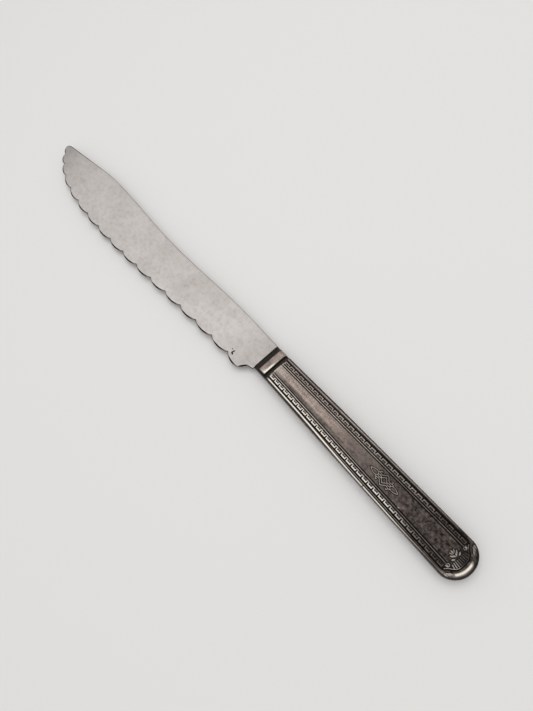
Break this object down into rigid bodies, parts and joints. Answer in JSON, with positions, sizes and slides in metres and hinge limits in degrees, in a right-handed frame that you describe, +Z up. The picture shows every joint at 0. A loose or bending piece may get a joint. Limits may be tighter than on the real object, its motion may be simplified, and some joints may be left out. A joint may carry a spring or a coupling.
{
  "type": "cake knife",
  "caption": "Cake knife with a long scalloped stainless blade, a plain bolster collar and a hollow silver-plated handle struck with a key-pattern border.",
  "frame": {"origin": "on the surface the knife lies on, under the middle of the whole knife's box", "axes": "+X along the handle towards the blade's tip, +Y across it towards the cutting edge, +Z up out of the surface"},
  "size_m": [0.2868, 0.0258, 0.0072],
  "materials": {
    "blade_steel": "satin stainless with faint stains",
    "silver_plate": "silver plate over nickel silver, tarnished dark in the recesses",
    "solder": "dull solder",
    "cement": "matte cement"
  },
  "bodies": {
    "root": {"blade": "blade_steel", "bolster": "silver_plate", "upper_handle_shell": "silver_plate", "lower_handle_shell": "silver_plate", "seam_solder": "solder", "collar_solder": "solder", "tang_solder": "solder", "handle_cement": "cement"}
  },
  "joints": []
}
